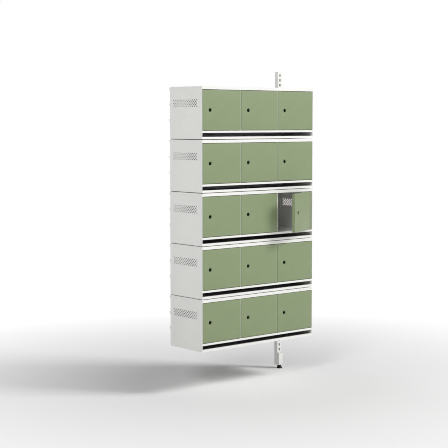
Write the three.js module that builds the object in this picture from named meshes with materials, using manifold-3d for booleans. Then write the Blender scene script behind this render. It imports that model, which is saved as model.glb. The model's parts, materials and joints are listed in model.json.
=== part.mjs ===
// Wall-hung bay of charging lockers: five steel modules stacked on a slotted wall upright, each with
// three small lockable doors, a cable duct below them and a charging rail at the back of the duct.
// Millimetres, +Z up. The front faces -Y and the wall stands behind, at +Y. The origin is the centre
// of the levelling foot's underside, on the floor; X = 0 is the upright's centre line.

import * as THREE from 'three';
import { mergeVertices } from 'three/addons/utils/BufferGeometryUtils.js';
import Module from 'manifold-3d';

const wasm = await Module();
wasm.setup();

// ---------------------------------------------------------------- driving dimensions

const MODULE_COUNT = 5;
const DOORS_PER_MODULE = 3;
const MODULE_PITCH = 320; // ten slots of the upright
const MODULE_HEIGHT = 316; // leaves a 4 mm shadow line between modules
const CABINET_WIDTH = 920;
const CABINET_DEPTH = 310;
const CABINET_BOTTOM = 261.5; // above the floor
const BAY_CLEARANCE = 1; // from the cabinet's side to the upright's centre line

const SIDE_SHEET = 2;
const SHEET = 1.5;
const GAP = 0.3; // between pieces that rest on or pass through each other

// Heights inside one module, from its underside
const BASE_RAIL_TOP = 14;
const FLOOR_RAIL_BOTTOM = 38; // the cable duct's mouth lies between these two
const FLOOR_TOP = 50.5;
const TOP_RAIL_BOTTOM = 297.5;
const RAIL_LIP = 20; // depth of the top rail's inward fold
const DUCT_LIP = 12; // depth of the folds above and below the duct's mouth

const DOOR_LATCH_GAP = 3; // at the left of the door, within its third of the width
const DOOR_HINGE_GAP = 2; // at its right
const DOOR_END_GAP = 3; // above and below the door
const DOOR_THICKNESS = 18;
const DOOR_LIP = 12; // width of the fold around the door's open back
const OPEN_ROW = 3; // this row's right-hand door stands ajar
const OPEN_COLUMN = 3;
const OPEN_ANGLE_DEG = 26;

const PIN_RADIUS = 2.5;
const PIN_INSET = 16; // from the door's right edge
const PIN_SETBACK = 5.5; // behind the door's face
const PIN_REACH = 5.5; // beyond the door's end: gap, sheet and 1 mm

const LOCK_INSET = 58; // from the door's left edge
const LOCK_CUP_RADIUS = 11.5;
const LOCK_RECESS = 6.7; // from the door's face to the lock's face
const LOCK_FACE_THICKNESS = 2.5;
const LOCK_BARREL_RADIUS = 8;
const CAM_LENGTH = 48;
const CAM_WIDTH = 16;
const CAM_THICKNESS = 3;
const CAM_STANDOFF = 2.5; // behind the door
const STRIKE_WIDTH = 20;
const STRIKE_CLEARANCE = 0.5; // behind the closed door
const DIVIDER_SETBACK = 2.5; // from the front rails' face

const CHARGER_RAIL_DEPTH = 46;
const CHARGER_RAIL_WALL = 3;
const CHARGER_RAIL_END_GAP = 6;
const OUTLET_WIDTH = 50;
const OUTLET_DEPTH = 24;
const OUTLET_HEIGHT = 44; // above the compartment's floor
const INLET_RADIUS = 9;
const INLET_FROM_END = 50;
const INLET_LENGTH = 8;

const UPRIGHT_WIDTH = 35;
const UPRIGHT_DEPTH = 30;
const UPRIGHT_WALL = 2;
const UPRIGHT_BOTTOM = 102.5; // above the floor
const UPRIGHT_END_RADIUS = 12;
const SLOT_COUNT = 58;
const SLOT_PITCH = 32;
const SLOT_WIDTH = 12;
const SLOT_HEIGHT = 16;
const END_SLOT_INSET = 24; // from the upright's end to the last slot's centre
const WALL_SCREW_RADIUS = 3.5;
const WALL_SCREW_SLOTS = [2, 20, 38, 56]; // the slots that a wall screw is driven through

const HOOKS_PER_SIDE = 3;
const HOOK_STEP = 3; // slots from one hook to the next
const TOP_HOOK_SLOT = 14; // slot of the lowest module's top hook
const HOOK_TOP = -1.5; // from the slot's centre
const HOOK_TIP = -17;
const HOOK_THICKNESS = 4.6;

const LEG_SETFORWARD = 16; // from the upright's front to the leg's; their backs are level
const LEG_WALL = 2;
const LEG_END_PLATE = 4;
const SPIGOT_WIDTH = 28;
const SPIGOT_DEPTH = 10;
const SPIGOT_HEIGHT = 120;

const FOOT_SETBACK = 15; // from the leg's front to the foot's centre
const FOOT_HEIGHT = 23;
const FOOT_BASE_RADIUS = 18;
const FOOT_TOP_RADIUS = 10;
const STEM_RADIUS = 5;
const STEM_TOP = 78;

// ---------------------------------------------------------------- derived places

const RIGHT_X = -BAY_CLEARANCE;
const LEFT_X = RIGHT_X - CABINET_WIDTH;
const BACK_Y = LEG_SETFORWARD - FOOT_SETBACK;
const FRONT_Y = BACK_Y - CABINET_DEPTH;

const INSIDE_LEFT = LEFT_X + SIDE_SHEET;
const INSIDE_RIGHT = RIGHT_X - SIDE_SHEET;
const THIRD = (INSIDE_RIGHT - INSIDE_LEFT) / DOORS_PER_MODULE;
const CARCASS_LEFT = INSIDE_LEFT + GAP;
const CARCASS_RIGHT = INSIDE_RIGHT - GAP;
const PANEL_BACK_Y = BACK_Y - SHEET; // rear face of the carcass and of the base tray

const DOOR_WIDTH = THIRD - DOOR_LATCH_GAP - DOOR_HINGE_GAP;
const DOOR_HEIGHT = TOP_RAIL_BOTTOM - FLOOR_TOP - 2 * DOOR_END_GAP;
const DOOR_MIDDLE_Z = (TOP_RAIL_BOTTOM + FLOOR_TOP) / 2;

const UPRIGHT_HEIGHT = (SLOT_COUNT - 1) * SLOT_PITCH + 2 * END_SLOT_INSET;
const LEG_BOTTOM = FOOT_HEIGHT + GAP;
const LEG_TOP = UPRIGHT_BOTTOM - 2 * GAP;

const slotHeight = (index) => UPRIGHT_BOTTOM + END_SLOT_INSET + index * SLOT_PITCH;
const thirdLeft = (column) => INSIDE_LEFT + (column - 1) * THIRD;

// ---------------------------------------------------------------- solids

function toSolid(geometry) {
  geometry.deleteAttribute('normal');
  geometry.deleteAttribute('uv');
  const merged = mergeVertices(geometry, 1e-4);
  return new wasm.Manifold(
    new wasm.Mesh({
      numProp: 3,
      vertProperties: new Float32Array(merged.attributes.position.array),
      triVerts: new Uint32Array(merged.index.array),
    }),
  );
}

function toGeometry(solid) {
  const mesh = solid.getMesh();
  const geometry = new THREE.BufferGeometry();
  geometry.setAttribute('position', new THREE.BufferAttribute(new Float32Array(mesh.vertProperties), 3));
  geometry.setIndex(new THREE.BufferAttribute(new Uint32Array(mesh.triVerts), 1));
  geometry.computeVertexNormals();
  return geometry;
}

// Each corner takes its coordinates as given, so that boxes sharing a plane share it exactly.
function box(x, y, z) {
  const geometry = new THREE.BoxGeometry(1, 1, 1);
  const corners = geometry.attributes.position;
  const side = (value) => (value < 0 ? 0 : 1);
  for (let i = 0; i < corners.count; i++) {
    corners.setXYZ(i, x[side(corners.getX(i))], y[side(corners.getY(i))], z[side(corners.getZ(i))]);
  }
  return toSolid(geometry);
}

function uprightCylinder(radius, x, y, [z0, z1], topRadius = radius, sides = 12) {
  const geometry = new THREE.CylinderGeometry(topRadius, radius, z1 - z0, sides);
  return toSolid(geometry.rotateX(Math.PI / 2).translate(x, y, (z0 + z1) / 2));
}

function levelCylinder(radius, x, [y0, y1], z, sides = 16) {
  const geometry = new THREE.CylinderGeometry(radius, radius, y1 - y0, sides);
  return toSolid(geometry.translate(x, (y0 + y1) / 2, z));
}

const join = (solids) => solids.reduce((whole, piece) => whole.add(piece));
const cut = (solid, tools) => tools.reduce((rest, tool) => rest.subtract(tool), solid);

// ---------------------------------------------------------------- materials

const whiteSteel = new THREE.MeshStandardMaterial({ color: 0xe6e6e2, roughness: 0.55, metalness: 0 });
const greenSteel = new THREE.MeshStandardMaterial({ color: 0x98a881, roughness: 0.55, metalness: 0 });
const blackPlastic = new THREE.MeshStandardMaterial({ color: 0x161616, roughness: 0.45, metalness: 0 });
const aluminium = new THREE.MeshStandardMaterial({ color: 0x8a8d90, roughness: 0.45, metalness: 0.6 });
const zincSteel = new THREE.MeshStandardMaterial({ color: 0xb4b6b8, roughness: 0.35, metalness: 1 });

const kiosk = new THREE.Group();

function addNode(parent, name, solid, material) {
  const mesh = new THREE.Mesh(toGeometry(solid), material);
  mesh.name = name;
  parent.add(mesh);
  return mesh;
}

// ---------------------------------------------------------------- one locker module

// A side is a flat sheet whose rear edge carries hooks that drop into the upright's slots.
function sideSolid(outerX, inwards) {
  const x = [Math.min(outerX, outerX + inwards), Math.max(outerX, outerX + inwards)];
  const sheet = box(x, [FRONT_Y, BACK_Y], [0, MODULE_HEIGHT]);
  const pieces = [sheet];
  const tongueFront = BACK_Y + UPRIGHT_WALL + GAP;
  for (let hook = 0; hook < HOOKS_PER_SIDE; hook++) {
    const slot = slotHeight(TOP_HOOK_SLOT - hook * HOOK_STEP) - CABINET_BOTTOM;
    const neckBottom = slot - SLOT_HEIGHT / 2 + GAP;
    pieces.push(box(x, [BACK_Y - 1, tongueFront + 1], [neckBottom, slot + HOOK_TOP]));
    pieces.push(box(x, [tongueFront, tongueFront + HOOK_THICKNESS], [slot + HOOK_TIP, slot + HOOK_TOP]));
  }
  return join(pieces);
}

// The welded carcass: top, back and floor sheets with folded front rails, two dividers, and a strike
// strip at the left of each compartment that stops the door and that the lock's cam turns behind. The
// back sheet stands above the top and closes the joint below the next module.
function carcassSolid() {
  const width = [CARCASS_LEFT, CARCASS_RIGHT];
  const depth = [FRONT_Y, PANEL_BACK_Y];
  const inside = [FLOOR_TOP - 1, MODULE_HEIGHT - 1];
  const pieces = [
    box(width, depth, [MODULE_HEIGHT - SHEET, MODULE_HEIGHT]),
    box(width, [FRONT_Y, FRONT_Y + SHEET], [TOP_RAIL_BOTTOM, MODULE_HEIGHT]),
    box(width, [FRONT_Y, FRONT_Y + RAIL_LIP], [TOP_RAIL_BOTTOM, TOP_RAIL_BOTTOM + SHEET]),
    box(width, [PANEL_BACK_Y - SHEET, PANEL_BACK_Y], [FLOOR_RAIL_BOTTOM, MODULE_PITCH - GAP]),
    box(width, depth, [FLOOR_TOP - SHEET, FLOOR_TOP]),
    box(width, [FRONT_Y, FRONT_Y + SHEET], [FLOOR_RAIL_BOTTOM, FLOOR_TOP]),
    box(width, [FRONT_Y, FRONT_Y + DUCT_LIP], [FLOOR_RAIL_BOTTOM, FLOOR_RAIL_BOTTOM + SHEET]),
  ];
  const strikeFront = FRONT_Y + DOOR_THICKNESS + STRIKE_CLEARANCE;
  const holes = [];
  for (let column = 1; column <= DOORS_PER_MODULE; column++) {
    const left = thirdLeft(column);
    let strikeLeft = CARCASS_LEFT;
    if (column > 1) {
      const dividerDepth = [FRONT_Y + DIVIDER_SETBACK, PANEL_BACK_Y - 1];
      pieces.push(box([left - SHEET / 2, left + SHEET / 2], dividerDepth, inside));
      strikeLeft = left;
    }
    pieces.push(box([strikeLeft, left + STRIKE_WIDTH], [strikeFront, strikeFront + SHEET], inside));

    const pinX = left + THIRD - DOOR_HINGE_GAP - PIN_INSET;
    const pinY = FRONT_Y + PIN_SETBACK;
    const holeRadius = PIN_RADIUS + GAP;
    holes.push(uprightCylinder(holeRadius, pinX, pinY, [FLOOR_TOP - SHEET - 1, FLOOR_TOP + 1]));
    holes.push(uprightCylinder(holeRadius, pinX, pinY, [TOP_RAIL_BOTTOM - 1, TOP_RAIL_BOTTOM + SHEET + 1]));

    const middle = left + THIRD / 2;
    const outletBack = PANEL_BACK_Y - SHEET;
    holes.push(
      box(
        [middle - OUTLET_WIDTH / 2 - GAP, middle + OUTLET_WIDTH / 2 + GAP],
        [outletBack - OUTLET_DEPTH - 2 * GAP, outletBack],
        [FLOOR_TOP - SHEET - 1, FLOOR_TOP + 1],
      ),
    );
  }
  return cut(join(pieces), holes);
}

// The tray that closes the module below the cable duct.
function baseTraySolid() {
  const width = [CARCASS_LEFT, CARCASS_RIGHT];
  return join([
    box(width, [FRONT_Y, PANEL_BACK_Y], [0, SHEET]),
    box(width, [FRONT_Y, FRONT_Y + SHEET], [0, BASE_RAIL_TOP]),
    box(width, [FRONT_Y, FRONT_Y + DUCT_LIP], [BASE_RAIL_TOP - SHEET, BASE_RAIL_TOP]),
    box(width, [PANEL_BACK_Y - SHEET, PANEL_BACK_Y], [0, BASE_RAIL_TOP]),
  ]);
}

// The charging rail stands on the tray at the back of the duct. It is a channel that is open below,
// with one outlet block per compartment and a power inlet that looks out of the module's back.
function chargingRailSolid() {
  const back = PANEL_BACK_Y - SHEET - GAP;
  const front = back - CHARGER_RAIL_DEPTH;
  const [bottom, top] = [SHEET + GAP, FLOOR_TOP - SHEET - GAP];
  const [left, right] = [CARCASS_LEFT + CHARGER_RAIL_END_GAP, CARCASS_RIGHT - CHARGER_RAIL_END_GAP];
  const pieces = [box([left, right], [front, back], [bottom, top])];
  for (let column = 1; column <= DOORS_PER_MODULE; column++) {
    const middle = thirdLeft(column) + THIRD / 2;
    pieces.push(
      box(
        [middle - OUTLET_WIDTH / 2, middle + OUTLET_WIDTH / 2],
        [back - OUTLET_DEPTH, back],
        [top - 1, FLOOR_TOP + OUTLET_HEIGHT],
      ),
    );
  }
  const inletZ = (BASE_RAIL_TOP + FLOOR_RAIL_BOTTOM) / 2;
  pieces.push(levelCylinder(INLET_RADIUS, right - INLET_FROM_END, [back - 1, back + INLET_LENGTH], inletZ));
  const hollow = box(
    [left + CHARGER_RAIL_WALL, right - CHARGER_RAIL_WALL],
    [front + CHARGER_RAIL_WALL, back - CHARGER_RAIL_WALL],
    [bottom - 1, top - CHARGER_RAIL_WALL],
  );
  return join(pieces).subtract(hollow);
}

// ---------------------------------------------------------------- doors and locks

// A door is a folded pan with an open back. Its own origin is on the pivot axis at mid height. Pivot
// pins stand out of its ends, and a drawn cup sinks the lock below the face.
const doorLeft = PIN_INSET - DOOR_WIDTH;
const doorFront = -PIN_SETBACK;
const doorBack = doorFront + DOOR_THICKNESS;
const lockX = doorLeft + LOCK_INSET;
const cupBottom = doorFront + LOCK_RECESS + LOCK_FACE_THICKNESS + GAP;

function doorSolid() {
  const half = DOOR_HEIGHT / 2;
  const inset = (by) => [
    [doorLeft + by, PIN_INSET - by],
    [by - half, half - by],
  ];
  const [outerX, outerZ] = inset(0);
  const [hollowX, hollowZ] = inset(SHEET);
  const [mouthX, mouthZ] = inset(DOOR_LIP);
  const pan = cut(box(outerX, [doorFront, doorBack], outerZ), [
    box(hollowX, [doorFront + SHEET, doorBack - SHEET], hollowZ),
    box(mouthX, [doorBack - SHEET - 1, doorBack + 1], mouthZ),
  ]);
  const solid = join([
    pan,
    levelCylinder(LOCK_CUP_RADIUS + SHEET, lockX, [doorFront, cupBottom + SHEET], 0),
    uprightCylinder(PIN_RADIUS, 0, 0, [half - 1, half + PIN_REACH]),
    uprightCylinder(PIN_RADIUS, 0, 0, [-half - PIN_REACH, 1 - half]),
  ]);
  return cut(solid, [
    levelCylinder(LOCK_CUP_RADIUS, lockX, [doorFront - 1, cupBottom], 0),
    levelCylinder(LOCK_BARREL_RADIUS + GAP, lockX, [cupBottom - 1, cupBottom + SHEET + 1], 0),
  ]);
}

// The lock's plug turns with its cam. Its own origin is on its axis, level with the door's pivot.
function lockSolid() {
  const faceFront = doorFront + LOCK_RECESS;
  const faceBack = faceFront + LOCK_FACE_THICKNESS;
  const camFront = doorBack + CAM_STANDOFF;
  const camBack = camFront + CAM_THICKNESS;
  return join([
    levelCylinder(LOCK_CUP_RADIUS - GAP, 0, [faceFront, faceBack], 0),
    levelCylinder(LOCK_BARREL_RADIUS, 0, [faceBack - 1, camBack], 0),
    box([-CAM_WIDTH / 2, CAM_WIDTH / 2], [camFront, camBack], [-CAM_LENGTH, 0]),
  ]);
}

// ---------------------------------------------------------------- upright, leg and foot

// A rectangular tube with a column of slots in its front, rounded at the lower end of that face.
function uprightSolid() {
  const half = UPRIGHT_WIDTH / 2;
  const top = UPRIGHT_BOTTOM + UPRIGHT_HEIGHT;
  const [front, back] = [BACK_Y, BACK_Y + UPRIGHT_DEPTH];
  const tube = cut(box([-half, half], [front, back], [UPRIGHT_BOTTOM, top]), [
    box(
      [UPRIGHT_WALL - half, half - UPRIGHT_WALL],
      [front + UPRIGHT_WALL, back - UPRIGHT_WALL],
      [UPRIGHT_BOTTOM - 1, top + 1],
    ),
  ]);
  const slots = [];
  for (let index = 0; index < SLOT_COUNT; index++) {
    const z = slotHeight(index);
    slots.push(
      box(
        [-SLOT_WIDTH / 2, SLOT_WIDTH / 2],
        [front - 1, front + UPRIGHT_WALL + 1],
        [z - SLOT_HEIGHT / 2, z + SLOT_HEIGHT / 2],
      ),
    );
  }
  const screwHoles = WALL_SCREW_SLOTS.map((index) =>
    levelCylinder(WALL_SCREW_RADIUS, 0, [back - UPRIGHT_WALL - 1, back + 1], slotHeight(index)),
  );
  const radius = UPRIGHT_END_RADIUS;
  const corners = [-1, 1].map((side) => {
    const edge = side * (half + 1);
    const centre = side * (half - radius);
    const x = [Math.min(edge, centre), Math.max(edge, centre)];
    const y = [front - 1, front + UPRIGHT_WALL];
    const square = box(x, y, [UPRIGHT_BOTTOM - 1, UPRIGHT_BOTTOM + radius]);
    return square.subtract(levelCylinder(radius, centre, [y[0] - 1, y[1] + 1], UPRIGHT_BOTTOM + radius, 32));
  });
  return cut(tube, [...slots, ...screwHoles, ...corners]);
}

// A short tube with an end plate that the foot screws into, and a spigot that slides up the upright.
function legSolid() {
  const half = UPRIGHT_WIDTH / 2;
  const [front, back] = [-FOOT_SETBACK, BACK_Y + UPRIGHT_DEPTH];
  const spigotFront = BACK_Y + UPRIGHT_WALL + GAP;
  const outside = box([-half, half], [front, back], [LEG_BOTTOM, LEG_TOP]);
  const spigot = box(
    [-SPIGOT_WIDTH / 2, SPIGOT_WIDTH / 2],
    [spigotFront, spigotFront + SPIGOT_DEPTH],
    [LEG_TOP - 1, LEG_TOP + SPIGOT_HEIGHT],
  );
  const hollow = box(
    [LEG_WALL - half, half - LEG_WALL],
    [front + LEG_WALL, back - LEG_WALL],
    [LEG_BOTTOM + LEG_END_PLATE, LEG_TOP - LEG_WALL],
  );
  const stemHole = uprightCylinder(STEM_RADIUS + GAP, 0, 0, [LEG_BOTTOM - 1, LEG_BOTTOM + LEG_END_PLATE + 1]);
  return cut(outside.add(spigot), [hollow, stemHole]);
}

// The foot's plastic cone has a blind hole in its top for the threaded stem.
const stemBottom = FOOT_HEIGHT / 2;

function footPadSolid() {
  const cone = uprightCylinder(FOOT_BASE_RADIUS, 0, 0, [0, FOOT_HEIGHT], FOOT_TOP_RADIUS, 32);
  return cone.subtract(uprightCylinder(STEM_RADIUS + GAP, 0, 0, [stemBottom, FOOT_HEIGHT + 1]));
}

// ---------------------------------------------------------------- assembly

// Rows are counted from the top and columns from the left.
for (let row = 1; row <= MODULE_COUNT; row++) {
  const module = new THREE.Group();
  module.position.z = CABINET_BOTTOM + (MODULE_COUNT - row) * MODULE_PITCH;
  kiosk.add(module);
  addNode(module, `side_left_r${row}`, sideSolid(LEFT_X, SIDE_SHEET), whiteSteel);
  addNode(module, `side_right_r${row}`, sideSolid(RIGHT_X, -SIDE_SHEET), whiteSteel);
  addNode(module, `carcass_r${row}`, carcassSolid(), whiteSteel);
  addNode(module, `base_tray_r${row}`, baseTraySolid(), whiteSteel);
  addNode(module, `charging_rail_r${row}`, chargingRailSolid(), aluminium);

  for (let column = 1; column <= DOORS_PER_MODULE; column++) {
    const leaf = new THREE.Group();
    const pivotX = thirdLeft(column) + THIRD - DOOR_HINGE_GAP - PIN_INSET;
    leaf.position.set(pivotX, FRONT_Y + PIN_SETBACK, DOOR_MIDDLE_Z);
    if (row === OPEN_ROW && column === OPEN_COLUMN) {
      leaf.rotation.z = THREE.MathUtils.degToRad(OPEN_ANGLE_DEG);
    }
    module.add(leaf);
    addNode(leaf, `door_r${row}_c${column}`, doorSolid(), greenSteel);
    addNode(leaf, `lock_r${row}_c${column}`, lockSolid(), blackPlastic).position.x = lockX;
  }
}

addNode(kiosk, 'wall_upright', uprightSolid(), whiteSteel);
addNode(kiosk, 'leg', legSolid(), whiteSteel);
addNode(kiosk, 'foot_pad', footPadSolid(), blackPlastic);
addNode(kiosk, 'foot_stem', uprightCylinder(STEM_RADIUS, 0, 0, [stemBottom + GAP, STEM_TOP]), zincSteel);

export default kiosk;
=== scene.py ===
"""Looks of a wall-hung bay of charging lockers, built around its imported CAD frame.

Lengths are in metres, and MM turns millimetres into metres. X runs along the doors, which face -Y, and
Z is up. Rows are counted from the top and columns from the left, as in the frame's names.
"""

import json
import math

import bmesh
import bpy
from mathutils import Matrix, Vector


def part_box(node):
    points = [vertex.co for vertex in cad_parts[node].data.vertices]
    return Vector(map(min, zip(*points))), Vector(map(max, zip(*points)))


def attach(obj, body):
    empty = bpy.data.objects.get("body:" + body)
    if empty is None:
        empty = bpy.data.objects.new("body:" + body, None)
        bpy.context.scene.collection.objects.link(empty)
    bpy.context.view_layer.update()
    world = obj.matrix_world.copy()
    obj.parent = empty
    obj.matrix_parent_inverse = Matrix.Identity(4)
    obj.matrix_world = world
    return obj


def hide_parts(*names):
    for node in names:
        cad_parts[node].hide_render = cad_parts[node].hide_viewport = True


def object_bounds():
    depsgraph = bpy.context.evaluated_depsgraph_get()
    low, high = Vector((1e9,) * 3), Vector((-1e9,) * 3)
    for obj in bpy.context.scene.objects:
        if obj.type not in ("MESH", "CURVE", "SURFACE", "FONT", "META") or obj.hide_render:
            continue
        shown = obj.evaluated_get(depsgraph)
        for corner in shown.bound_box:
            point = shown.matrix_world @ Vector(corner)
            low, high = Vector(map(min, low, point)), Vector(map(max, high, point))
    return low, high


MM = 0.001

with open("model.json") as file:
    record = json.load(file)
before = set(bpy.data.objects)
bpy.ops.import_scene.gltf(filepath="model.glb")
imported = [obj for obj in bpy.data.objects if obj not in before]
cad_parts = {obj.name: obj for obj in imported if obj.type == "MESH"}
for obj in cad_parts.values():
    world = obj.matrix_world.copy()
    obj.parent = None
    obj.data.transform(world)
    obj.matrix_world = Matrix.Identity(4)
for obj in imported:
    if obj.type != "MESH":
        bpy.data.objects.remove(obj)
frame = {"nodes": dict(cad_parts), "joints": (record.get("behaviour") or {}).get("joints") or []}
cad_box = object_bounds()
joint_of = {joint["child"]: joint for joint in frame["joints"]}

ROWS = range(1, 6)
COLUMNS = range(1, 4)

# ------------------------------------------------------------------ dimensions that the looks add

SHEET = 1.5 * MM
CLEARANCE = 0.3 * MM
SMOOTH_ANGLE = math.radians(32)

# Perforated field of a side sheet, from the sheet's front and top edges
HOLE_RADIUS = 3.8 * MM
HOLE_COLUMNS = 12
HOLE_ROWS = 5
HOLE_PITCH = 20 * MM
HOLE_ROW_PITCH = 9.2 * MM
FIRST_HOLE_FROM_FRONT = 52.4 * MM
TOP_HOLES_FROM_TOP = 81.7 * MM
HOLE_SEGMENTS = 16
SIDE_EDGE = 0.25 * MM

# Rear hooks of a side sheet, from the sheet's top edge and from the cabinet's back
HOOKS = 3
HOOK_PITCH = 96 * MM
HOOK_TOP = 4.5 * MM
HOOK_NECK_BOTTOM = 10.7 * MM
HOOK_TIP = 20.0 * MM
HOOK_THROAT = 2.3 * MM
HOOK_REACH = 6.9 * MM
HOOK_CORNER = 2 * MM
CABINET_BACK = 1 * MM

# Doors, in the door's own frame: the pivot axis is at x = 0, y = 0
PIN_REACH = 5.5 * MM
PIN_RADIUS = 2.5 * MM
WASHER_TOP = 2.4 * MM
CUP_RADIUS = 11.5 * MM
CUP_FLARE = 1.2 * MM
DOOR_LIP = 12 * MM
FOLD_RADIUS = 1.6 * MM

# Lock, along its axis from the door's face
LOCK_RECESS = 6.7 * MM
LOCK_FACE_THICKNESS = 2.5 * MM
CUP_DEPTH = LOCK_RECESS + LOCK_FACE_THICKNESS + CLEARANCE
HOUSING_RADIUS = 11.2 * MM
ROTOR_RADIUS = 8.2 * MM
ROTOR_SHAFT = 6 * MM
ROTOR_HEAD = 2.2 * MM
KEY_SLOT_WIDTH = 1.4 * MM
KEY_SLOT_LENGTH = 7.2 * MM
BARREL_RADIUS = 8.0 * MM
NUT_RADIUS = 12 * MM
NUT_THICKNESS = 3.6 * MM
CAM_LENGTH = 48 * MM
CAM_WIDTH = 16 * MM
CAM_THICKNESS = 3 * MM
CAM_STANDOFF = 2.5 * MM

# Inside a module
STRIKE_SETBACK = 18.5 * MM
FELT_DOT_INSET = 13 * MM
FELT_DOT_HEIGHTS = (72 * MM, 276 * MM)
RIVET_INSET = 9 * MM
LOWEST_RIVET = 58 * MM
RIVET_PITCH = 72 * MM
RIVETS_PER_COLUMN = 4
RIB_PITCH = 4 * MM
RIB_HEIGHT = 2.2 * MM
RIB_GROOVE = 0.7 * MM
OUTLET_DEPTH = 24 * MM
OUTLET_HEIGHT = 44 * MM
INLET_RADIUS = 9 * MM
INLET_FROM_END = 50 * MM
INLET_BOSS = 8 * MM
INLET_HEIGHT = 26 * MM

# Wall upright
UPRIGHT_WALL = 2 * MM
SLOT_PITCH = 32 * MM
END_SLOT_INSET = 24 * MM
WALL_SCREW_SLOTS = (2, 20, 38, 56)  # counted from the lowest slot, which is 0

# Foot
FOOT_TOP_RADIUS = 10 * MM
STEM_HOLE_RADIUS = 5.3 * MM
STEM_THREAD = 1.5 * MM
STEM_GROOVE = 0.7 * MM


# ------------------------------------------------------------------ shader nodes

def new_material(name, roughness, metallic=0.0):
    material = bpy.data.materials.new(name)
    material.use_nodes = True
    shader = material.node_tree.nodes["Principled BSDF"]
    shader.inputs["Roughness"].default_value = roughness
    shader.inputs["Metallic"].default_value = metallic
    return material, material.node_tree, shader


def add_node(tree, kind, inputs=None, **settings):
    node = tree.nodes.new(kind)
    for name, value in settings.items():
        setattr(node, name, value)
    for name, value in (inputs or {}).items():
        if isinstance(value, bpy.types.NodeSocket):
            tree.links.new(value, node.inputs[name])
        else:
            node.inputs[name].default_value = value
    return node


def noise(tree, coordinates, scale, detail=2.0, stretch=None):
    if stretch is not None:
        mapping = add_node(tree, "ShaderNodeMapping", {"Vector": coordinates, "Scale": stretch})
        coordinates = mapping.outputs["Vector"]
    node = add_node(
        tree, "ShaderNodeTexNoise", {"Vector": coordinates, "Scale": scale, "Detail": detail}
    )
    return node.outputs["Fac"]


def remap(tree, value, low, high, start=0.35, end=0.65):
    """Value between start and end becomes low to high, and is held there outside."""
    node = add_node(
        tree,
        "ShaderNodeMapRange",
        {"Value": value, "From Min": start, "From Max": end, "To Min": low, "To Max": high},
        clamp=True,
    )
    return node.outputs["Result"]


def mix(tree, factor, first, second):
    node = add_node(tree, "ShaderNodeMix", data_type="RGBA")
    for socket, value in ((0, factor), (6, first), (7, second)):
        if isinstance(value, bpy.types.NodeSocket):
            tree.links.new(value, node.inputs[socket])
        else:
            node.inputs[socket].default_value = value
    return node.outputs[2]


def shade(colour, factor):
    return (*(min(1.0, channel * factor) for channel in colour), 1.0)


def edge_mask(tree, radius):
    """1 on convex and concave edges and 0 on flats, from how far a rounded normal leans."""
    rounded = add_node(tree, "ShaderNodeBevel", {"Radius": radius}, samples=4)
    flat = add_node(tree, "ShaderNodeNewGeometry")
    lean = add_node(
        tree,
        "ShaderNodeVectorMath",
        {0: rounded.outputs["Normal"], 1: flat.outputs["Normal"]},
        operation="DOT_PRODUCT",
    )
    return remap(tree, lean.outputs["Value"], 1.0, 0.0, 0.80, 0.985)


def powder_coat(name, colour, roughness, edge_gain):
    """Baked paint on sheet steel: fine orange peel, faint pigment mottling, thinner coat on edges."""
    material, tree, shader = new_material(name, roughness)
    place = add_node(tree, "ShaderNodeTexCoord").outputs["Object"]
    cloud = remap(tree, noise(tree, place, 5.0, 3.0), 0.0, 1.0, 0.3, 0.7)
    grain = remap(tree, noise(tree, place, 620.0, 1.0), 0.0, 0.5)
    base = mix(tree, cloud, shade(colour, 0.97), shade(colour, 1.03))
    base = mix(tree, grain, base, shade(colour, 1.06))
    worn = mix(tree, edge_mask(tree, 1.2 * MM), base, shade(colour, edge_gain))
    tree.links.new(worn, shader.inputs["Base Color"])
    scuffs = noise(tree, place, 38.0, 6.0, stretch=(1.0, 1.0, 4.0))
    gloss = remap(tree, scuffs, roughness - 0.05, roughness + 0.07)
    tree.links.new(gloss, shader.inputs["Roughness"])
    peel = noise(tree, place, 950.0, 2.0)
    swell = noise(tree, place, 160.0, 1.0)
    height = add_node(tree, "ShaderNodeMath", {0: peel, 1: swell}, operation="ADD").outputs[0]
    add_bump(tree, shader, height, 0.22, 0.12 * MM)
    shader.inputs["Specular IOR Level"].default_value = 0.42
    return material


def with_painted_shade_above(material, height):
    """The same coat, but above the height a dark grey is painted in: painted shade for the dark inside the
    upright, seen through its slots.
    """
    tree = material.node_tree
    shader = tree.nodes["Principled BSDF"]
    paint = shader.inputs["Base Color"].links[0].from_socket
    place = add_node(tree, "ShaderNodeTexCoord").outputs["Object"]
    level = add_node(tree, "ShaderNodeSeparateXYZ", {"Vector": place}).outputs["Z"]
    spigot_shade = remap(tree, level, 0.0, 1.0, height, height + 1 * MM)
    tree.links.new(mix(tree, spigot_shade, paint, SPIGOT_PAINTED_SHADE), shader.inputs["Base Color"])
    return material


def fine_surface(
    name,
    colour,
    roughness,
    metallic=0.0,
    grain_scale=600.0,
    stretch=None,
    bump=0.2,
    speckle=0.15,
    specular=0.5,
):
    """Moulded, cast, plated or drawn surfaces: colour speckle, roughness clouds and a fine bump."""
    material, tree, shader = new_material(name, roughness, metallic)
    place = add_node(tree, "ShaderNodeTexCoord").outputs["Object"]
    grain = noise(tree, place, grain_scale, 3.0, stretch=stretch)
    cloud = noise(tree, place, 22.0, 2.0)
    tone = mix(tree, remap(tree, grain, 0.0, 1.0), shade(colour, 1 - speckle), shade(colour, 1 + speckle))
    worn = mix(tree, edge_mask(tree, 0.7 * MM), tone, shade(colour, 1 + 2.5 * speckle))
    tree.links.new(worn, shader.inputs["Base Color"])
    tree.links.new(remap(tree, cloud, roughness - 0.06, roughness + 0.08), shader.inputs["Roughness"])
    add_bump(tree, shader, grain, bump, 0.1 * MM)
    shader.inputs["Specular IOR Level"].default_value = specular
    return material


def add_bump(tree, shader, height, strength, distance):
    bump = add_node(
        tree, "ShaderNodeBump", {"Height": height, "Strength": strength, "Distance": distance}
    )
    tree.links.new(bump.outputs["Normal"], shader.inputs["Normal"])


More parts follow.
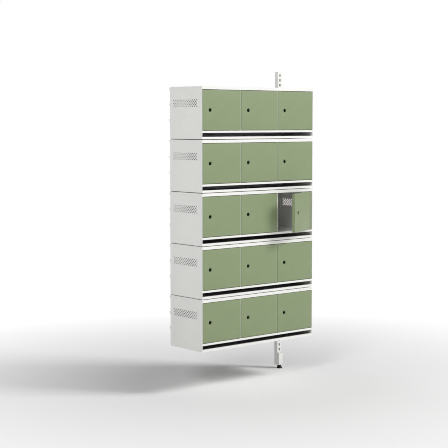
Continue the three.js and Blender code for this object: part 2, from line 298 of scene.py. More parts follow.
WHITE = (0.80, 0.80, 0.775)
GREEN = (0.231, 0.285, 0.156)
# Dark grey for the leg's spigot inside the upright: painted shade seen through the upright's slots.
SPIGOT_PAINTED_SHADE = (0.20, 0.20, 0.19, 1.0)

white_steel = powder_coat("white_powder_coat", WHITE, 0.46, 1.08)
green_steel = powder_coat("green_powder_coat", GREEN, 0.48, 1.18)
lock_black = fine_surface("lock_black", (0.004, 0.004, 0.004), 0.5, grain_scale=400.0, specular=0.05)
rail_aluminium = fine_surface(
    "anodised_rail",
    (0.84, 0.86, 0.90),
    0.42,
    metallic=0.1,
    grain_scale=300.0,
    stretch=(0.04, 1.0, 1.0),
    speckle=0.05,
)
foot_plastic = fine_surface("foot_plastic", (0.006, 0.006, 0.0065), 0.5, grain_scale=700.0, specular=0.25)
zinc_steel = fine_surface(
    "zinc_plate",
    (0.60, 0.60, 0.61),
    0.34,
    metallic=1.0,
    grain_scale=260.0,
    stretch=(1.0, 1.0, 0.2),
    bump=0.1,
    speckle=0.08,
)
nylon = fine_surface("nylon_washer", (0.045, 0.045, 0.048), 0.55)
# Dark grey of the duct's floor sheet: painted shade for the dark inside the cable duct.
duct_shade_paint = fine_surface("duct_shade_paint", (0.16, 0.16, 0.158), 0.8, grain_scale=900.0, bump=0.5, specular=0.2)
port_dark = fine_surface("socket_plastic", (0.03, 0.03, 0.033), 0.5)
status_light = fine_surface("status_light", (0.10, 0.62, 0.16), 0.3, bump=0.05, speckle=0.1)


# ------------------------------------------------------------------ mesh building

def finish_mesh(mesh, name):
    """Smooth shading that stays sharp at folds."""
    mesh.name = name
    for polygon in mesh.polygons:
        polygon.use_smooth = True
    mesh.set_sharp_from_angle(angle=SMOOTH_ANGLE)
    return mesh


def mesh_of(form, name):
    mesh = bpy.data.meshes.new(name)
    form.to_mesh(mesh)
    form.free()
    return finish_mesh(mesh, name)


def evaluated(obj, name):
    """A plain mesh of an object with its modifiers, which then goes."""
    graph = bpy.context.evaluated_depsgraph_get()
    mesh = bpy.data.meshes.new_from_object(obj.evaluated_get(graph), depsgraph=graph)
    data = obj.data
    bpy.data.objects.remove(obj)
    if isinstance(data, bpy.types.Mesh):
        bpy.data.meshes.remove(data)
    return finish_mesh(mesh, name)


def block(low, high, bevel=0.0, segments=2, which=None):
    """A box, with the edges that which() picks rounded."""
    form = bmesh.new()
    bmesh.ops.create_cube(form, size=1.0)
    low, high = Vector(low), Vector(high)
    for vertex in form.verts:
        for axis in range(3):
            vertex.co[axis] = high[axis] if vertex.co[axis] > 0 else low[axis]
    if bevel:
        chosen = [edge for edge in form.edges if which is None or which(edge)]
        bmesh.ops.bevel(
            form, geom=chosen, offset=bevel, segments=segments, profile=0.5, affect="EDGES"
        )
    return form


def runs_along_y(edge):
    first, second = (vertex.co for vertex in edge.verts)
    return abs(first.y - second.y) > 0 and abs(first.x - second.x) + abs(first.z - second.z) < 1e-9


def lathe(profile, axis="Y", segments=40, centre=(0, 0, 0)):
    """Turns (radius, distance along axis) points into a solid. The profile starts and ends on the axis,
    or closes on itself where its first point is repeated."""
    form = bmesh.new()
    rings = []
    closed = profile[0] == profile[-1]
    points = profile[:-1] if closed else profile
    for radius, along in points:
        if radius == 0:
            rings.append([form.verts.new((0, 0, along))])
            continue
        turns = [2 * math.pi * step / segments for step in range(segments)]
        rings.append([form.verts.new((radius * math.cos(t), radius * math.sin(t), along)) for t in turns])
    pairs = list(zip(rings, rings[1:]))
    if closed:
        pairs.append((rings[-1], rings[0]))
    for first, second in pairs:
        for step in range(segments):
            after = (step + 1) % segments
            corners = [
                first[step % len(first)],
                first[after % len(first)],
                second[after % len(second)],
                second[step % len(second)],
            ]
            form.faces.new(list(dict.fromkeys(corners)))
    bmesh.ops.recalc_face_normals(form, faces=form.faces)
    if axis == "Y":
        bmesh.ops.rotate(form, verts=form.verts, matrix=Matrix.Rotation(math.radians(-90), 3, "X"))
    bmesh.ops.translate(form, verts=form.verts, vec=Vector(centre))
    return form


def combine(forms):
    """One bmesh holding all of them."""
    whole = bmesh.new()
    for form in forms:
        part = bpy.data.meshes.new("part")
        form.to_mesh(part)
        form.free()
        whole.from_mesh(part)
        bpy.data.meshes.remove(part)
    return whole


def form_of(mesh):
    """A bmesh of a mesh, which then goes."""
    form = bmesh.new()
    form.from_mesh(mesh)
    bpy.data.meshes.remove(mesh)
    return form


def loose(form, name="loose"):
    mesh = bpy.data.meshes.new(name)
    form.to_mesh(mesh)
    form.free()
    obj = bpy.data.objects.new(name, mesh)
    bpy.context.scene.collection.objects.link(obj)
    return obj


def carve(form, name, additions=(), cuts=()):
    """Adds and cuts forms with exact booleans and returns the finished mesh."""
    obj = loose(form)
    helpers = []
    for tools, operation in ((additions, "UNION"), (cuts, "DIFFERENCE")):
        for tool in tools:
            helper = loose(tool, "tool")
            helpers.append(helper)
            modifier = obj.modifiers.new("boolean", "BOOLEAN")
            modifier.operation = operation
            modifier.solver = "EXACT"
            modifier.object = helper
    mesh = evaluated(obj, name)
    for helper in helpers:
        data = helper.data
        bpy.data.objects.remove(helper)
        bpy.data.meshes.remove(data)
    return mesh


def cut_sheet(outline, holes, thickness, edge, name):
    """A flat sheet in the curve's XY plane with round holes and broken edges, centred on its thickness.
    outline is a list of points, and holes a list of (x, y, radius)."""
    curve = bpy.data.curves.new(name, "CURVE")
    curve.dimensions = "2D"
    curve.fill_mode = "BOTH"
    curve.extrude = thickness / 2 - edge
    curve.bevel_depth = edge
    curve.bevel_resolution = 0
    curve.offset = -edge
    rings = [outline]
    turns = [2 * math.pi * step / HOLE_SEGMENTS for step in range(HOLE_SEGMENTS)]
    for x, y, radius in holes:
        rings.append([(x + radius * math.cos(t), y + radius * math.sin(t)) for t in turns])
    for ring in rings:
        spline = curve.splines.new("POLY")
        spline.points.add(len(ring) - 1)
        for point, (x, y) in zip(spline.points, ring):
            point.co = (x, y, 0, 1)
        spline.use_cyclic_u = True
    obj = bpy.data.objects.new(name, curve)
    bpy.context.scene.collection.objects.link(obj)
    mesh = evaluated(obj, name)
    bpy.data.curves.remove(curve)
    return mesh


def rounded(points, radius, steps=5):
    """An outline with its corners rounded by arcs."""
    result = []
    for index, corner in enumerate(points):
        corner = Vector(corner)
        before, after = Vector(points[index - 1]), Vector(points[(index + 1) % len(points)])
        entry, leave = (before - corner).normalized(), (after - corner).normalized()
        reach = min(radius, (before - corner).length * 0.49, (after - corner).length * 0.49)
        for step in range(steps + 1):
            t = step / steps
            start, end = corner + entry * reach, corner + leave * reach
            result.append(tuple((1 - t) ** 2 * start + 2 * t * (1 - t) * corner + t**2 * end))
    return result


def add_piece(name, mesh, material, body, place=None, replaces=()):
    obj = bpy.data.objects.new(name, mesh)
    bpy.context.scene.collection.objects.link(obj)
    if not mesh.materials:
        mesh.materials.append(material)
    obj.matrix_world = place or Matrix.Identity(4)
    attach(obj, body)
    if replaces:
        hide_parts(*replaces)
    return obj


# ------------------------------------------------------------------ side sheets

# Carries the drawing's X to the cabinet's depth, its Y to height and its thickness to X.
SHEET_STANDS = Matrix(((0, 0, 1, 0), (1, 0, 0, 0), (0, 1, 0, 0), (0, 0, 0, 1)))


def side_outline(front, height):
    points = [(front, 0.0), (front, height), (CABINET_BACK, height)]
    for hook in range(HOOKS):
        top = height - HOOK_TOP - hook * HOOK_PITCH
        neck = height - HOOK_NECK_BOTTOM - hook * HOOK_PITCH
        tip = height - HOOK_TIP - hook * HOOK_PITCH
        throat, reach = CABINET_BACK + HOOK_THROAT, CABINET_BACK + HOOK_REACH
        points.append((CABINET_BACK, top))
        tongue = rounded([(throat, top), (reach, top), (reach, tip), (throat, tip)], HOOK_CORNER, 3)
        points += tongue[4:]  # without the first corner, which lies inside the sheet's neck
        points += [(throat, neck), (CABINET_BACK, neck)]
    return points + [(CABINET_BACK, 0.0)]


def perforations(front, height):
    holes = []
    for row in range(HOLE_ROWS):
        shifted = row % 2
        z = height - TOP_HOLES_FROM_TOP - row * HOLE_ROW_PITCH
        for column in range(HOLE_COLUMNS - shifted):
            y = front + FIRST_HOLE_FROM_FRONT + (column + shifted / 2) * HOLE_PITCH
            holes.append((y, z, HOLE_RADIUS))
    return holes


def build_sides():
    low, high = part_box("side_left_r1")
    height = high.z - low.z
    thickness = high.x - low.x
    mesh = cut_sheet(
        side_outline(low.y, height), perforations(low.y, height), thickness, SIDE_EDGE, "side_sheet"
    )
    for row in ROWS:
        for hand in ("left", "right"):
            node = f"side_{hand}_r{row}"
            low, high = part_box(node)
            place = Matrix.Translation(((low.x + high.x) / 2, 0, low.z)) @ SHEET_STANDS
            add_piece(f"{node}_sheet", mesh, white_steel, "cabinet", place, [node])


# ------------------------------------------------------------------ doors

def door_size():
    """The closed door's box in its own frame, without its pins."""
    low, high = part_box("door_r1_c1")
    pivot = Vector(joint_of["door_r1_c1"]["pos_m"])
    low, high = low - pivot, high - pivot
    low.z += PIN_REACH
    high.z -= PIN_REACH
    return low, high


DOOR_LOW, DOOR_HIGH = door_size()
LOCK_X = joint_of["lock_r1_c1"]["pos_m"][0] - joint_of["door_r1_c1"]["pos_m"][0]


def door_place(door):
    """Where a door's own frame stands at rest: a door that rests ajar has that share below zero."""
    joint = joint_of[door]
    ajar = math.radians(-joint["range_deg"][0])
    return Matrix.Translation(joint["pos_m"]) @ Matrix.Rotation(ajar, 4, "Z")


def door_skin_mesh():
    front, back = DOOR_LOW.y, DOOR_HIGH.y

    def folded(edge):
        """The front face's four edges and the four that run back from its corners."""
        return any(vertex.co.y < front + 1e-6 for vertex in edge.verts)

    pan = block(DOOR_LOW, DOOR_HIGH, FOLD_RADIUS, 4, folded)
    inset = Vector((SHEET, 0, SHEET))
    hollow = block(
        DOOR_LOW + inset + Vector((0, SHEET, 0)), DOOR_HIGH - inset - Vector((0, SHEET, 0)), 0.8 * MM
    )
    rim = Vector((DOOR_LIP, 0, DOOR_LIP))
    mouth = block(
        DOOR_LOW + rim + Vector((0, back - front - 3 * SHEET, 0)), DOOR_HIGH - rim + Vector((0, SHEET, 0))
    )
    cup_end = front + CUP_DEPTH
    cup = lathe(
        [
            (0, front + SHEET / 2),
            (CUP_RADIUS + SHEET, front + SHEET / 2),
            (CUP_RADIUS + SHEET, cup_end + SHEET),
            (0, cup_end + SHEET),
        ],
        centre=(LOCK_X, 0, 0),
        segments=48,
    )
    arc = [math.radians(90 * step / 4) for step in range(5)]
    flare = [
        (CUP_RADIUS + CUP_FLARE * (1 - math.sin(a)), front + CUP_FLARE * (1 - math.cos(a))) for a in arc
    ]
    mouth_of_cup = [(0, front - SHEET), (CUP_RADIUS + CUP_FLARE, front - SHEET)]
    well = lathe(
        mouth_of_cup + flare + [(CUP_RADIUS, cup_end), (0, cup_end)], centre=(LOCK_X, 0, 0), segments=48
    )
    bore = lathe(
        [
            (0, cup_end - SHEET),
            (BARREL_RADIUS + 0.3 * MM, cup_end - SHEET),
            (BARREL_RADIUS + 0.3 * MM, cup_end + 2 * SHEET),
            (0, cup_end + 2 * SHEET),
        ],
        centre=(LOCK_X, 0, 0),
        segments=48,
    )
    shell = carve(pan, "shell", cuts=[hollow, mouth])
    return carve(form_of(shell), "door_skin", additions=[cup], cuts=[well, bore])


def strip_outline(line, wall):
    """The section of a folded strip: a line of (x, y) points, and the same line moved by the wall."""
    points = [Vector(point) for point in line]
    normals = []
    for start, end in zip(points, points[1:]):
        along = (end - start).normalized()
        normals.append(Vector((-along.y, along.x)))
    corners = [normals[0]]
    for before, after in zip(normals, normals[1:]):
        bisector = (before + after).normalized()
        corners.append(bisector / bisector.dot(before))
    corners.append(normals[-1])
    moved = [point + corner * wall for point, corner in zip(points, corners)]
    return [tuple(point) for point in points + moved[::-1]]


def stiffener_mesh():
    """A hat-section strip spot-welded behind the door's face."""
    depth, crown, foot, flange = 8 * MM, 22 * MM, 26 * MM, 10 * MM
    half = [(-foot / 2 - flange, 0), (-foot / 2, 0), (-crown / 2, depth)]
    line = half + [(-x, y) for x, y in reversed(half)]
    length = (DOOR_HIGH.z - DOOR_LOW.z) - 2 * DOOR_LIP - 4 * MM
    mesh = cut_sheet(strip_outline(line, 1 * MM), [], length, 0.1 * MM, "door_stiffener")
    middle = (DOOR_LOW.x + DOOR_HIGH.x) / 2
    mesh.transform(Matrix.Translation((middle, DOOR_LOW.y + SHEET, 0)))
    return mesh


def pin_mesh():
    """The pins at the door's two ends, with chamfered tips."""
    chamfer = 0.6 * MM
    pins = []
    for end in (-1, 1):
        root = end * (DOOR_HIGH.z - 1 * MM)
        shoulder = end * (DOOR_HIGH.z + PIN_REACH - chamfer)
        tip = end * (DOOR_HIGH.z + PIN_REACH)
        profile = [(0, root), (PIN_RADIUS, root), (PIN_RADIUS, shoulder)]
        profile += [(PIN_RADIUS - chamfer, tip), (0, tip)]
        pins.append(lathe(profile, axis="Z", segments=24))
    return mesh_of(combine(pins), "pivot_pins")


def washer_mesh():
    """A nylon washer on each pin, in the gap above and below the door."""
    bore, rim = PIN_RADIUS + 0.1 * MM, PIN_RADIUS + 2.6 * MM
    washers = []
    for end in (-1, 1):
        near, far = end * (DOOR_HIGH.z + CLEARANCE), end * (DOOR_HIGH.z + WASHER_TOP)
        profile = [(bore, near), (rim, near), (rim, far), (bore, far), (bore, near)]
        washers.append(lathe(profile, axis="Z", segments=32))
    return mesh_of(combine(washers), "pivot_washers")


def housing_mesh():
    """The fixed part of the cam lock: a rim in the cup, a threaded barrel and its nut."""
    face = DOOR_LOW.y + LOCK_RECESS
    seat = face + LOCK_FACE_THICKNESS
    end = DOOR_HIGH.y + CAM_STANDOFF - CLEARANCE
    bore = ROTOR_RADIUS + 0.15 * MM
    inner = ROTOR_SHAFT + CLEARANCE
    rounding = 0.6 * MM
    pitch, groove = 0.8 * MM, 0.45 * MM
    profile = [
        (bore, face + 0.3 * MM),
        (bore + 0.5 * MM, face),
        (HOUSING_RADIUS - rounding, face),
        (HOUSING_RADIUS, face + rounding),
        (HOUSING_RADIUS, seat),
        (BARREL_RADIUS, seat),
    ]
    thread = DOOR_HIGH.y - 4 * pitch
    while thread < end - pitch:
        profile += [(BARREL_RADIUS, thread), (BARREL_RADIUS - groove, thread + pitch / 2)]
        thread += pitch
    profile += [(BARREL_RADIUS - 0.4 * MM, end), (inner, end), (inner, seat), (bore, seat)]
    profile.append(profile[0])
    barrel = lathe(profile, segments=48)
    cup_back = DOOR_LOW.y + CUP_DEPTH + SHEET
    nut_back = cup_back + NUT_THICKNESS
    nut = lathe(
        [
            (BARREL_RADIUS, cup_back),
            (NUT_RADIUS, cup_back),
            (NUT_RADIUS, nut_back),
            (BARREL_RADIUS, nut_back),
            (BARREL_RADIUS, cup_back),
        ],
        segments=6,
    )
    return mesh_of(combine([barrel, nut]), "lock_housing")


def rotor_mesh():
    """The plug that turns, with its key slot and the cam screw's head behind the cam."""
    face = DOOR_LOW.y + LOCK_RECESS
    cam_front = DOOR_HIGH.y + CAM_STANDOFF
    cam_back = cam_front + CAM_THICKNESS
    plug = lathe(
        [
            (0, face - 0.25 * MM),
            (ROTOR_RADIUS * 0.6, face - 0.15 * MM),
            (ROTOR_RADIUS - 0.5 * MM, face + 0.1 * MM),
            (ROTOR_RADIUS, face + 0.6 * MM),
            (ROTOR_RADIUS, face + ROTOR_HEAD),
            (ROTOR_SHAFT, face + ROTOR_HEAD),
            (ROTOR_SHAFT, cam_front),
            (0, cam_front),
        ],
        segments=48,
    )
    half_width, half_length = KEY_SLOT_WIDTH / 2, KEY_SLOT_LENGTH / 2
    slot = block((-half_width, face - 1 * MM, -half_length), (half_width, face + 1.6 * MM, half_length))
    mesh = carve(plug, "lock_rotor", cuts=[slot])
    head_radius, head_back, chamfer = 5 * MM, cam_back + 3 * MM, 0.6 * MM
    head = [(0, cam_back), (head_radius, cam_back), (head_radius, head_back - chamfer)]
    head += [(head_radius - chamfer, head_back), (0, head_back)]
    return mesh_of(combine([form_of(mesh), lathe(head, segments=6)]), "lock_rotor")


def cam_mesh():
    """A flat steel arm that hangs down when the lock is open."""
    half = CAM_WIDTH / 2
    turns = [math.radians(180 * step / 12) for step in range(13)]
    corner = 4 * MM
    points = [(half * math.cos(a), half * math.sin(a)) for a in turns]
    points += [(-half, corner - CAM_LENGTH), (corner - half, -CAM_LENGTH)]
    points += [(half - corner, -CAM_LENGTH), (half, corner - CAM_LENGTH)]
    mesh = cut_sheet(points, [], CAM_THICKNESS, 0.3 * MM, "lock_cam")
    middle = DOOR_HIGH.y + CAM_STANDOFF + CAM_THICKNESS / 2
    stand = Matrix(((1, 0, 0, 0), (0, 0, -1, middle), (0, 1, 0, 0), (0, 0, 0, 1)))
    mesh.transform(stand)
    return mesh


def build_doors():
    skin, stiffener, pins, washers = door_skin_mesh(), stiffener_mesh(), pin_mesh(), washer_mesh()
    housing, rotor, cam = housing_mesh(), rotor_mesh(), cam_mesh()
    for row in ROWS:
        for column in COLUMNS:
            tag = f"r{row}_c{column}"
            door, lock = f"door_{tag}", f"lock_{tag}"
            place = door_place(door)
            lock_place = place @ Matrix.Translation((LOCK_X, 0, 0))
            add_piece(f"{door}_skin", skin, green_steel, door, place, [door])
            add_piece(f"{door}_stiffener", stiffener, green_steel, door, place)
            add_piece(f"{door}_pins", pins, zinc_steel, door, place)
            add_piece(f"{door}_washers", washers, nylon, door, place)
            add_piece(f"{lock}_housing", housing, lock_black, door, lock_place)
            add_piece(f"{lock}_rotor", rotor, lock_black, lock, lock_place, [lock])
            add_piece(f"{lock}_cam", cam, zinc_steel, lock, lock_place)


# ------------------------------------------------------------------ carried-over steelwork

def dress(node, material, bevel):
    """Gives a CAD node its finish and small fold radii, by modifiers only."""
    obj = frame["nodes"][node]
    obj.data.materials.clear()
    obj.data.materials.append(material)
    weld = obj.modifiers.new("weld", "WELD")
    weld.merge_threshold = 0.02 * MM
    flat = obj.modifiers.new("flat", "DECIMATE")
    flat.decimate_type = "DISSOLVE"
    flat.angle_limit = math.radians(0.5)
    round_edges = obj.modifiers.new("bevel", "BEVEL")
    round_edges.width = bevel
    round_edges.segments = 3
    round_edges.limit_method = "ANGLE"
    round_edges.angle_limit = math.radians(40)
    round_edges.harden_normals = False
    obj.modifiers.new("normals", "WEIGHTED_NORMAL")
    return obj


def build_steelwork():
    for row in ROWS:
        dress(f"carcass_r{row}", white_steel, 0.55 * MM)
        dress(f"base_tray_r{row}", white_steel, 0.55 * MM)
        dress(f"charging_rail_r{row}", rail_aluminium, 0.5 * MM)
    dress("wall_upright", white_steel, 0.5 * MM)
    leg_coat = powder_coat("leg_powder_coat", WHITE, 0.46, 1.08)
    # Above the upright's bottom the leg gets a dark grey: painted shade inside the upright.
    spigot_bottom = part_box("wall_upright")[0].z
    dress("leg", with_painted_shade_above(leg_coat, spigot_bottom), 0.8 * MM)


# ------------------------------------------------------------------ module hardware

def rivet_mesh():
    """Dome heads on the rear face of a carcass, up both ends and along both dividers."""
    low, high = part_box("carcass_r1")
    third = (high.x - low.x) / 3
    profile = [(0, -0.5 * MM), (3.2 * MM, -0.5 * MM), (3.2 * MM, 0.2 * MM), (2.6 * MM, 0.75 * MM)]
    profile += [(1.4 * MM, 1.1 * MM), (0, 1.2 * MM)]
    rivets = []
    for x in (low.x + RIVET_INSET, low.x + third, high.x - third, high.x - RIVET_INSET):
        for number in range(RIVETS_PER_COLUMN):
            height = LOWEST_RIVET + number * RIVET_PITCH
            rivets.append(lathe(profile, segments=20, centre=(x, high.y, height)))
    return mesh_of(combine(rivets), "back_rivets")


def bumper_mesh():
    """Two felt dots for each door, on the strike strips' front."""
    low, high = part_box("carcass_r1")
    third = (high.x - low.x) / 3
    profile = [(0, 0.2 * MM), (4 * MM, 0.2 * MM), (4 * MM, -0.25 * MM)]
    profile += [(3.7 * MM, -0.4 * MM), (0, -0.4 * MM)]
    dots = []
    for column in COLUMNS:
        for height in FELT_DOT_HEIGHTS:
            x = low.x + (column - 1) * third + FELT_DOT_INSET
            dots.append(lathe(profile, segments=24, centre=(x, low.y + STRIKE_SETBACK, height)))
    return mesh_of(combine(dots), "felt_dots")


def duct_shade_sheet_mesh():
    """A ribbed dark grey sheet on the floor of the cable duct, between its front fold and the rail; its
    dark grey is painted shade for the dark inside the duct.
    """
    low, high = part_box("base_tray_r1")
    rail_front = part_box("charging_rail_r1")[0].y
    front, back = low.y + SHEET + 1 * MM, rail_front - 1 * MM
    left, right = low.x + 1 * MM, high.x - 1 * MM
    base, crest = SHEET, SHEET + RIB_HEIGHT
    groove = crest - RIB_GROOVE
    line = [(front, base)]
    y = front
    while y + RIB_PITCH < back:
        line += [(y + 0.4 * MM, crest), (y + 2.2 * MM, crest), (y + 2.6 * MM, groove)]
        line.append((y + RIB_PITCH - 0.2 * MM, groove))
        y += RIB_PITCH
    line.append((y, base))
    mesh = cut_sheet(line, [], right - left, 0.05 * MM, "duct_painted_shade")
    mesh.transform(Matrix.Translation(((left + right) / 2, 0, 0)) @ SHEET_STANDS)
    return mesh


def port_meshes():
    """An outlet's face plate with its charging ports, the ports' shells and the status light."""
    width, height, thickness = 42 * MM, 32 * MM, 1.6 * MM
    corner = Vector((width / 2, 0, height / 2))
    plate_form = block(-corner - Vector((0, thickness, 0)), corner, 1.2 * MM, 3, runs_along_y)
    wide_port, small_port = (13.4 * MM, 6 * MM), (9.4 * MM, 3.6 * MM)
    ports = [(-10 * MM, 4 * MM, *wide_port), (10 * MM, 4 * MM, *wide_port), (0, -7 * MM, *small_port)]
    cuts, shells = [], []
    for x, z, wide, tall in ports:
        low = Vector((x - wide / 2, -2 * thickness, z - tall / 2))
        high = Vector((x + wide / 2, -0.3 * MM, z + tall / 2))
        cuts.append(block(low, high, 0.8 * MM, 3, runs_along_y))
        rim = Vector((0.5 * MM, 0, 0.5 * MM))
        shell = block(low + Vector((0, thickness * 0.75, 0)), high, 0.8 * MM, 3, runs_along_y)
        inner = block(low + rim, high - rim - Vector((0, 0.2 * MM, 0)), 0.4 * MM, 2, runs_along_y)
        reach = wide * 0.35
        tongue = block((x - reach, -1.0 * MM, z - 0.8 * MM), (x + reach, -0.3 * MM, z + 0.8 * MM))
        shells += [form_of(carve(shell, "port_shell", cuts=[inner])), tongue]
    plate = carve(plate_form, "outlet_plate", cuts=cuts)
    dome = [(0, -thickness), (1.6 * MM, -thickness), (1.3 * MM, -thickness - 0.6 * MM)]
    dome.append((0, -thickness - 0.8 * MM))
    light = lathe(dome, segments=20, centre=(14 * MM, 0, -9 * MM))
    return plate, mesh_of(combine(shells), "port_shells"), mesh_of(light, "status_light")


def inlet_mesh():
    """The power inlet's round shell, over the rail's own boss, with three contacts inside it."""
    reach, floor = INLET_BOSS + 5 * MM, INLET_BOSS + 0.3 * MM
    outer, inner = INLET_RADIUS + 0.1 * MM, INLET_RADIUS - 1.7 * MM
    flange = outer + 1.3 * MM
    profile = [(0, -1 * MM), (flange, -1 * MM), (flange, 1.2 * MM), (outer, 1.6 * MM)]
    profile += [(outer, reach - 0.5 * MM), (outer - 0.5 * MM, reach)]
    profile += [(inner, reach), (inner, floor), (0, floor)]
    pieces = [lathe(profile, segments=48)]
    contact, circle = 1.1 * MM, 4 * MM
    root, shoulder, tip = floor - 0.5 * MM, reach - 1.6 * MM, reach - 1 * MM
    for turn in (90, 210, 330):
        x, z = circle * math.cos(math.radians(turn)), circle * math.sin(math.radians(turn))
        pin = [(0, root), (contact, root), (contact, shoulder), (0, tip)]
        pieces.append(lathe(pin, segments=16, centre=(x, 0, z)))
    return mesh_of(combine(pieces), "power_inlet")


def build_module_hardware():
    rivets, dots, shade_sheet = rivet_mesh(), bumper_mesh(), duct_shade_sheet_mesh()
    plate, shells, light = port_meshes()
    inlet = inlet_mesh()
    for row in ROWS:
        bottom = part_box(f"base_tray_r{row}")[0].z
        lift = Matrix.Translation((0, 0, bottom))
        add_piece(f"carcass_r{row}_rivets", rivets, zinc_steel, "cabinet", lift)
        add_piece(f"carcass_r{row}_felt_dots", dots, nylon, "cabinet", lift)
        # The dark floor sheet in the duct: painted shade.
        add_piece(f"base_tray_r{row}_mat", shade_sheet, duct_shade_paint, "cabinet", lift)

        rail_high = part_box(f"charging_rail_r{row}")[1]
        carcass_low, carcass_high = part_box(f"carcass_r{row}")
        third = (carcass_high.x - carcass_low.x) / 3
        back = carcass_high.y - SHEET - CLEARANCE
        for column in COLUMNS:
            x = carcass_low.x + (column - 0.5) * third
            place = Matrix.Translation((x, back - OUTLET_DEPTH, rail_high.z - OUTLET_HEIGHT / 2))
            name = f"charging_rail_r{row}_outlet_{column}"
            add_piece(f"{name}_plate", plate, port_dark, "cabinet", place)
            add_piece(f"{name}_ports", shells, zinc_steel, "cabinet", place)
            add_piece(f"{name}_light", light, status_light, "cabinet", place)
        inlet_place = Matrix.Translation((rail_high.x - INLET_FROM_END, back, bottom + INLET_HEIGHT))
        add_piece(f"charging_rail_r{row}_inlet", inlet, port_dark, "cabinet", inlet_place)


def build_wall_screws():
    """Pan-head screws with washers, on the inside of the upright's rear wall. They end at its outside."""
    low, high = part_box("wall_upright")
    seat = high.y - UPRIGHT_WALL
    rim, washer_front = 7.5 * MM, -1.2 * MM
    washer = lathe([(0, 0), (rim, 0), (rim, washer_front), (0, washer_front)], segments=32)
    head_radius, root = 5.6 * MM, -1 * MM
    head_profile = [(0, root), (head_radius, washer_front), (head_radius, -2.4 * MM)]
    head_profile += [(4.2 * MM, -4 * MM), (0, -4.6 * MM)]
    width, length, floor, past = 0.6 * MM, 4 * MM, -3 * MM, -6 * MM
    slot = block((-length, past, -width), (length, floor, width))
    cross = block((-width, past, -length), (width, floor, length))
    head = carve(lathe(head_profile, segments=32), "screw_head", cuts=[slot, cross])
    radius = 3.2 * MM
    shank = lathe([(0, root), (radius, root), (radius, UPRIGHT_WALL), (0, UPRIGHT_WALL)], segments=24)
    mesh = mesh_of(combine([washer, shank, form_of(head)]), "wall_screw")
    for number, index in enumerate(WALL_SCREW_SLOTS, start=1):
        height = low.z + END_SLOT_INSET + index * SLOT_PITCH
        place = Matrix.Translation(((low.x + high.x) / 2, seat, height))
        add_piece(f"wall_upright_screw_{number}", mesh, zinc_steel, "cabinet", place)


# ------------------------------------------------------------------ foot

def build_foot():
    low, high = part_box("foot_pad")
    base, height = (high.x - low.x) / 2, high.z - low.z
    cone = lathe(
        [
            (0, 0),
            (base - 1.2 * MM, 0),
            (base, 1.2 * MM),
            (base, 3 * MM),
            (base - 0.8 * MM, 4.2 * MM),
            (FOOT_TOP_RADIUS + 1.2 * MM, height - 3 * MM),
            (FOOT_TOP_RADIUS, height - 1 * MM),
            (FOOT_TOP_RADIUS - 1 * MM, height),
            (STEM_HOLE_RADIUS, height),
            (STEM_HOLE_RADIUS, height / 2),
            (0, height / 2),
        ],
        axis="Z",
        segments=64,
    )
    cone_mesh = mesh_of(cone, "foot_cone")
    add_piece("foot_pad_cone", cone_mesh, foot_plastic, "foot", None, ["foot_pad"])
    low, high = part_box("foot_stem")
    radius, chamfer = (high.x - low.x) / 2, 0.8 * MM
    profile = [(0, low.z), (radius - chamfer, low.z)]
    z = low.z + chamfer
    while z < high.z - 2 * MM:
        profile += [(radius, z), (radius - STEM_GROOVE, z + STEM_THREAD / 2)]
        z += STEM_THREAD
    profile += [(radius - chamfer, high.z), (0, high.z)]
    stem = mesh_of(lathe(profile, axis="Z", segments=32), "foot_thread")
    add_piece("foot_stem_thread", stem, zinc_steel, "foot", None, ["foot_stem"])


# ------------------------------------------------------------------ camera, light, floor

CAMERA_PLACE = (-5.5491, -5.9395, 1.6472)
CAMERA_YAW = 49.559
CAMERA_PITCH = -3.533
CAMERA_LENS = 98.435
CAMERA_SHIFT = -0.06
PIXEL_FILTER = 1.0


def build_camera():
    data = bpy.data.cameras.new("camera")
    data.lens = CAMERA_LENS
    data.sensor_width = 36
    data.shift_y = CAMERA_SHIFT
    data.clip_end = 100
    camera = bpy.data.objects.new("camera", data)
    bpy.context.scene.collection.objects.link(camera)
    yaw, pitch = math.radians(CAMERA_YAW), math.radians(CAMERA_PITCH)
    forward = Vector((math.cos(pitch) * math.cos(yaw), math.cos(pitch) * math.sin(yaw), math.sin(pitch)))
    camera.location = CAMERA_PLACE
    camera.rotation_euler = forward.to_track_quat("-Z", "Y").to_euler()
    bpy.context.scene.camera = camera
    bpy.context.scene.cycles.filter_width = PIXEL_FILTER


AMBIENT = 0.22  # from the sides
AMBIENT_TOWARDS_FRONT = 0.10  # more from the front, less from behind
AMBIENT_TOWARDS_TOP = 0.05
BACKDROP = 1.0  # what the camera sees past the object
LIGHT_DISTANCE = 12  # across the floor, from the object's middle
LIGHT_SIZE = 4.2
KEY = (-42, 35, 1410)  # degrees round to the left of the front, degrees up, watts
FILL = (60, 30, 590)
FLOOR_NEAR, FLOOR_FAR = 0.7, 2.8  # the floor fades into the backdrop between these
FLOOR_HALF_SIZE = 30


def build_world():
    world = bpy.data.worlds.new("studio")
    world.use_nodes = True
    tree = world.node_tree
    background = tree.nodes["Background"]
    background.inputs["Color"].default_value = (1, 1, 1, 1)
    direction = add_node(tree, "ShaderNodeTexCoord").outputs["Generated"]
    leaning = add_node(
        tree,
        "ShaderNodeVectorMath",
        {0: direction, 1: (0, -AMBIENT_TOWARDS_FRONT, AMBIENT_TOWARDS_TOP)},
        operation="DOT_PRODUCT",
    )
    ambient = add_node(tree, "ShaderNodeMath", {0: leaning.outputs["Value"], 1: AMBIENT}, operation="ADD")
    rays = add_node(tree, "ShaderNodeLightPath").outputs["Is Camera Ray"]
    level = add_node(
        tree,
        "ShaderNodeMix",
        {"Factor": rays, "A": ambient.outputs["Value"], "B": BACKDROP},
        data_type="FLOAT",
    )
    tree.links.new(level.outputs["Result"], background.inputs["Strength"])
    bpy.context.scene.world = world


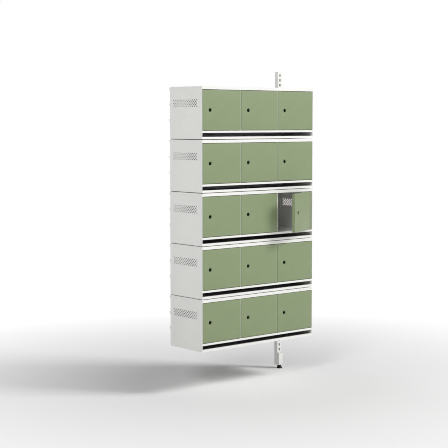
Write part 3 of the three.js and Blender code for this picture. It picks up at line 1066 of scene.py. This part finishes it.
def add_softbox(name, target, leftwards, upwards, power):
    data = bpy.data.lights.new(name, "AREA")
    data.shape = "SQUARE"
    data.size = LIGHT_SIZE
    data.energy = power
    light = bpy.data.objects.new(name, data)
    bpy.context.scene.collection.objects.link(light)
    turn, rise = math.radians(leftwards), math.radians(upwards)
    away = Vector((-math.sin(turn), -math.cos(turn), math.tan(rise))) * LIGHT_DISTANCE
    light.location = target + away
    light.rotation_euler = (-away).to_track_quat("-Z", "Y").to_euler()


def floor_material():
    """Pale matt floor that turns into the white of the backdrop away from the object."""
    material, tree, shader = new_material("floor", 0.9)
    shader.inputs["Specular IOR Level"].default_value = 0.1
    place = add_node(tree, "ShaderNodeTexCoord").outputs["Object"]
    tone = mix(tree, noise(tree, place, 1.5), (0.89, 0.89, 0.89, 1), (0.91, 0.91, 0.91, 1))
    tree.links.new(tone, shader.inputs["Base Color"])
    distance = add_node(tree, "ShaderNodeVectorMath", {0: place}, operation="LENGTH").outputs["Value"]
    glow = add_node(tree, "ShaderNodeEmission", {"Color": (1, 1, 1, 1), "Strength": BACKDROP})
    share = remap(tree, distance, 0.0, 1.0, FLOOR_NEAR, FLOOR_FAR)
    fade = add_node(tree, "ShaderNodeMixShader", {0: share})
    tree.links.new(shader.outputs["BSDF"], fade.inputs[1])
    tree.links.new(glow.outputs["Emission"], fade.inputs[2])
    tree.links.new(fade.outputs["Shader"], tree.nodes["Material Output"].inputs["Surface"])
    return material


def build_studio():
    build_world()
    middle = (cad_box[0] + cad_box[1]) / 2
    add_softbox("key", middle, *KEY)
    add_softbox("fill", middle, *FILL)

    form = bmesh.new()
    bmesh.ops.create_grid(form, x_segments=1, y_segments=1, size=FLOOR_HALF_SIZE)
    floor = bpy.data.objects.new("floor", mesh_of(form, "floor"))
    floor.location = (middle.x, middle.y, 0)
    floor.data.materials.append(floor_material())
    bpy.context.scene.collection.objects.link(floor)

    bpy.context.scene.view_settings.view_transform = "Standard"
    bpy.context.scene.view_settings.look = "None"


build_camera()
build_sides()
build_doors()
build_steelwork()
build_module_hardware()
build_wall_screws()
build_foot()
build_studio()
